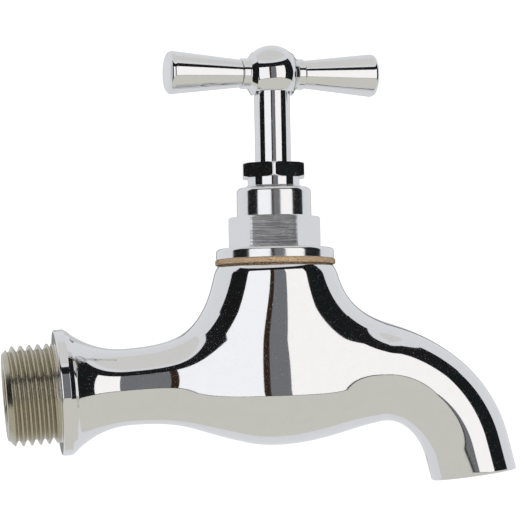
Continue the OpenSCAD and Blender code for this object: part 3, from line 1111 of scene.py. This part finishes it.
@dataclass
class Studio:
    """Pale floor, soft light, reflectors and the camera.

    Each row of CARDS is an upright reflector: its name, the directions of its two ends in
    degrees from the camera, positive to the right, and its glow.
    """

    target: Triple = (45.5, 0.0, 23.7)
    distance: float = 600.0
    azimuth: float = -8.0
    elevation: float = -2.3
    roll: float = 4.87
    width: float = 111.2
    floor_z: float = -60.0
    card_radius: float = 320.0
    card_top: float = 204.0
    frame_top: float = 330.0
    room: float = 700.0
    ceiling_z: float = 900.0
    dark: Triple = (0.012, 0.012, 0.013)
    pale: Triple = (0.76, 0.77, 0.79)
    lamp_size: float = 260.0
    CARDS = (
        ("dark_left", -88, -50, (0.01, 0.01, 0.01)),
        ("soft_left", -50, -7, (1.08, 1.08, 1.10)),
        ("dark_front", -7, 0, (0.035, 0.02, 0.012)),
        ("grey_front", 0, 21, (0.18, 0.185, 0.195)),
        ("soft_right", 21, 59, (1.13, 1.09, 1.08)),
        ("dark_right", 59, 98, (0.01, 0.012, 0.013)),
        ("grey_back", 163, 197, (0.62, 0.625, 0.63)),
        ("dark_back_left", 157, 163, (0.25, 0.25, 0.25)),
        ("dark_back_right", 197, 203, (0.25, 0.25, 0.25)),
    )

    def camera(self) -> None:
        """A long lens nearly level with the pipe, rolled with the object's tilt."""
        a, e = math.radians(self.azimuth), math.radians(self.elevation)
        back = Vector((math.sin(a) * math.cos(e), -math.cos(a) * math.cos(e), math.sin(e)))
        t = math.radians(self.roll)
        up = Vector((math.sin(t), 0, math.cos(t)))
        right = up.cross(back).normalized()
        up = back.cross(right)
        turn = Matrix((right, up, back)).transposed()
        data = bpy.data.cameras.new("camera")
        data.sensor_width = 36
        data.lens = data.sensor_width * self.distance / self.width
        data.clip_start, data.clip_end = 0.01, 20
        made = bpy.data.objects.new("camera", data)
        place = (Vector(self.target) + back * self.distance) * MM
        made.matrix_world = Matrix.Translation(place) @ turn.to_4x4()
        bpy.context.scene.collection.objects.link(made)
        bpy.context.scene.camera = made

    def card(self, name: str, span: Pair, heights: Pair, colour: Triple, radius: float) -> None:
        """A curved upright reflector round the object that only reflections see.

        Args:
            name: its name.
            span: its two ends' directions in degrees from the camera, positive to the right.
            heights: its lower and upper edge.
            colour: its glow.
            radius: its distance from the head axis.
        """
        steps = 3 + int((span[1] - span[0]) / 4)
        a = np.radians(np.linspace(*span, steps) + self.azimuth)
        x, y = self.target[0] + radius * np.sin(a), -radius * np.cos(a)
        grid = np.stack([np.stack([x, y, z + 0 * a], -1) for z in heights])
        self.reflector(name, grid, colour)

    def level_card(self, name: str, depths: Pair, height: float, colour: Triple) -> None:
        """A flat reflector below or above the object, square to the camera.

        Args:
            name: its name.
            depths: how far its near and far edge lie behind the head axis.
            height: its height.
            colour: its glow.
        """
        a = math.radians(self.azimuth)
        across, away = np.meshgrid(np.array([-self.room, self.room]), np.array(depths))
        x = self.target[0] + across * math.cos(a) - away * math.sin(a)
        y = across * math.sin(a) + away * math.cos(a)
        self.reflector(name, np.stack([x, y, height + 0 * x], -1), colour)

    def reflector(self, name: str, grid: Array, colour: Triple) -> None:
        """A sheet that glows evenly and is seen only in reflections."""
        shell = Shell()
        shell.skin(shell.add(grid), around=False)
        piece = shell.build(name)
        paint = Paint(name)
        paint.set(Base_Color=(0, 0, 0, 1), Roughness=1.0, Specular_IOR_Level=0.0)
        paint.set(Emission_Color=(*colour, 1), Emission_Strength=1.0)
        piece.data.materials.append(paint.material)
        for flag in ("visible_camera", "visible_shadow", "visible_diffuse"):
            setattr(piece, flag, False)

    def floor(self) -> None:
        """A wide pale floor below the spout."""
        u = np.linspace(-1, 1, 9) * 3000
        gx, gy = np.meshgrid(u, u, indexing="xy")
        shell = Shell()
        shell.skin(shell.add(np.stack([gx, gy, 0 * gx + self.floor_z], -1)), around=False)
        piece = shell.build("floor")
        paint = Paint("pale_floor")
        speck = paint.noise(paint.mapped(), 0.02, 2)
        pale = paint.blend(speck, (0.93, 0.93, 0.925, 1), (0.91, 0.91, 0.905, 1))
        paint.set(Base_Color=pale, Roughness=0.8)
        piece.data.materials.append(paint.material)

    def lamp(self, name: str, at: Triple, power: float) -> None:
        """A soft square light, not seen in reflections, that points at the object."""
        data = bpy.data.lights.new(name, "AREA")
        data.shape = "SQUARE"
        data.size = self.lamp_size * MM
        data.energy = power
        made = bpy.data.objects.new(name, data)
        made.location = Vector(at) * MM
        made.rotation_mode = "QUATERNION"
        made.rotation_quaternion = (Vector(self.target) - Vector(at)).to_track_quat("-Z", "Y")
        made.visible_glossy = False
        bpy.context.scene.collection.objects.link(made)

    def world(self) -> None:
        """An even pale surround."""
        made = bpy.data.worlds.new("surround")
        bpy.context.scene.world = made
        made.use_nodes = True
        colour, strength = made.node_tree.nodes["Background"].inputs[:2]
        colour.default_value = (1, 1, 1, 1)
        strength.default_value = 1.12

    def build(self) -> None:
        """Sets the stage."""
        bpy.context.scene.view_settings.view_transform = "Standard"
        self.world()
        self.floor()
        self.camera()
        self.lamp("key", (-250, -450, 420), 9)
        self.lamp("fill", (420, -380, 260), 5)
        floor, near, room = self.floor_z, self.card_radius, self.room
        for name, start, end, colour in self.CARDS:
            self.card(name, (start, end), (floor, self.card_top), colour, near)
        self.card("dark_frame", (-84, 100), (self.card_top, self.frame_top), self.dark, near)
        self.card("dark_edge", (-100, 110), (floor, floor + 7), self.dark, near - 2)
        self.card("pale_surround", (0, 359.9), (floor, self.ceiling_z), (0.78, 0.79, 0.815), room)
        self.level_card("pale_ceiling", (-room, room), self.ceiling_z, self.pale)
        self.level_card("warm_ceiling", (-room, 240), self.ceiling_z - 1, (0.71, 0.70, 0.675))
        self.level_card("pale_table", (-room, room), floor + 0.5, self.pale)
        self.level_card("warm_table", (-room, 30), floor + 1, (0.66, 0.645, 0.59))


# ---- the whole tap


CHROME = Plating("chrome_cast", grain=Grain.CAST_WITH_THREAD)
CHROME_SMOOTH = Plating("chrome_smooth", ripple=0.002)
CHROME_TURNED = Plating("chrome_turned", roughness=0.06, ripple=0.002, grain=Grain.TURNED)
BRASS = Metal("turned_brass", (0.80, 0.62, 0.33), (0.66, 0.48, 0.24))
FIBRE = Matt("pressed_fibre", (0.27, 0.19, 0.11), (0.035, 0.02, 0.01), 0.9, 2.6, 0.25)
PACKING = Matt("greased_packing", (0.10, 0.10, 0.11), (0.04, 0.04, 0.045), 0.6, 2.5, 0.06)
RUBBER = Matt("seat_rubber", (0.05, 0.05, 0.052), (0.02, 0.02, 0.022), 0.65, 1.2, 0.02)


def dress(piece: Piece, material: Material) -> None:
    """Gives a piece one material."""
    piece.data.materials.clear()
    piece.data.materials.append(material)


def main() -> None:
    """Builds every piece, dresses the carried-over CAD nodes and sets the stage."""
    logging.basicConfig(level=logging.INFO, format="%(message)s")
    cast, smooth, lined = CHROME.material(), CHROME_SMOOTH.material(), CHROME_TURNED.material()
    head, handle = Headwork(), Handle()
    made = [
        (Casting().build(), cast),
        (head.gasket(), FIBRE.material()),
        (head.bonnet(), lined),
        (head.gland(), smooth),
        (head.stem(), smooth),
        (handle.hub(), smooth),
        (handle.grip("left", -1.0), smooth),
        (handle.grip("right", 1.0), smooth),
    ]
    for piece, material in made:
        dress(piece, material)
        log.info("%s: %d faces", piece.name, len(piece.data.polygons))
    brass, packing = BRASS.material(), PACKING.material()
    carried = {
        "packing_lower": packing,
        "packing_upper": packing,
        "gland_follower": brass,
        "cross_bar": brass,
        "jumper": brass,
        "washer_nut": brass,
        "seat_washer": RUBBER.material(),
    }
    for node, material in carried.items():
        dress(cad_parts[node], material)
        log.info("%s: dressed", node)
    Studio().build()
    bpy.context.view_layer.update()


if __name__ == "__main__":
    main()
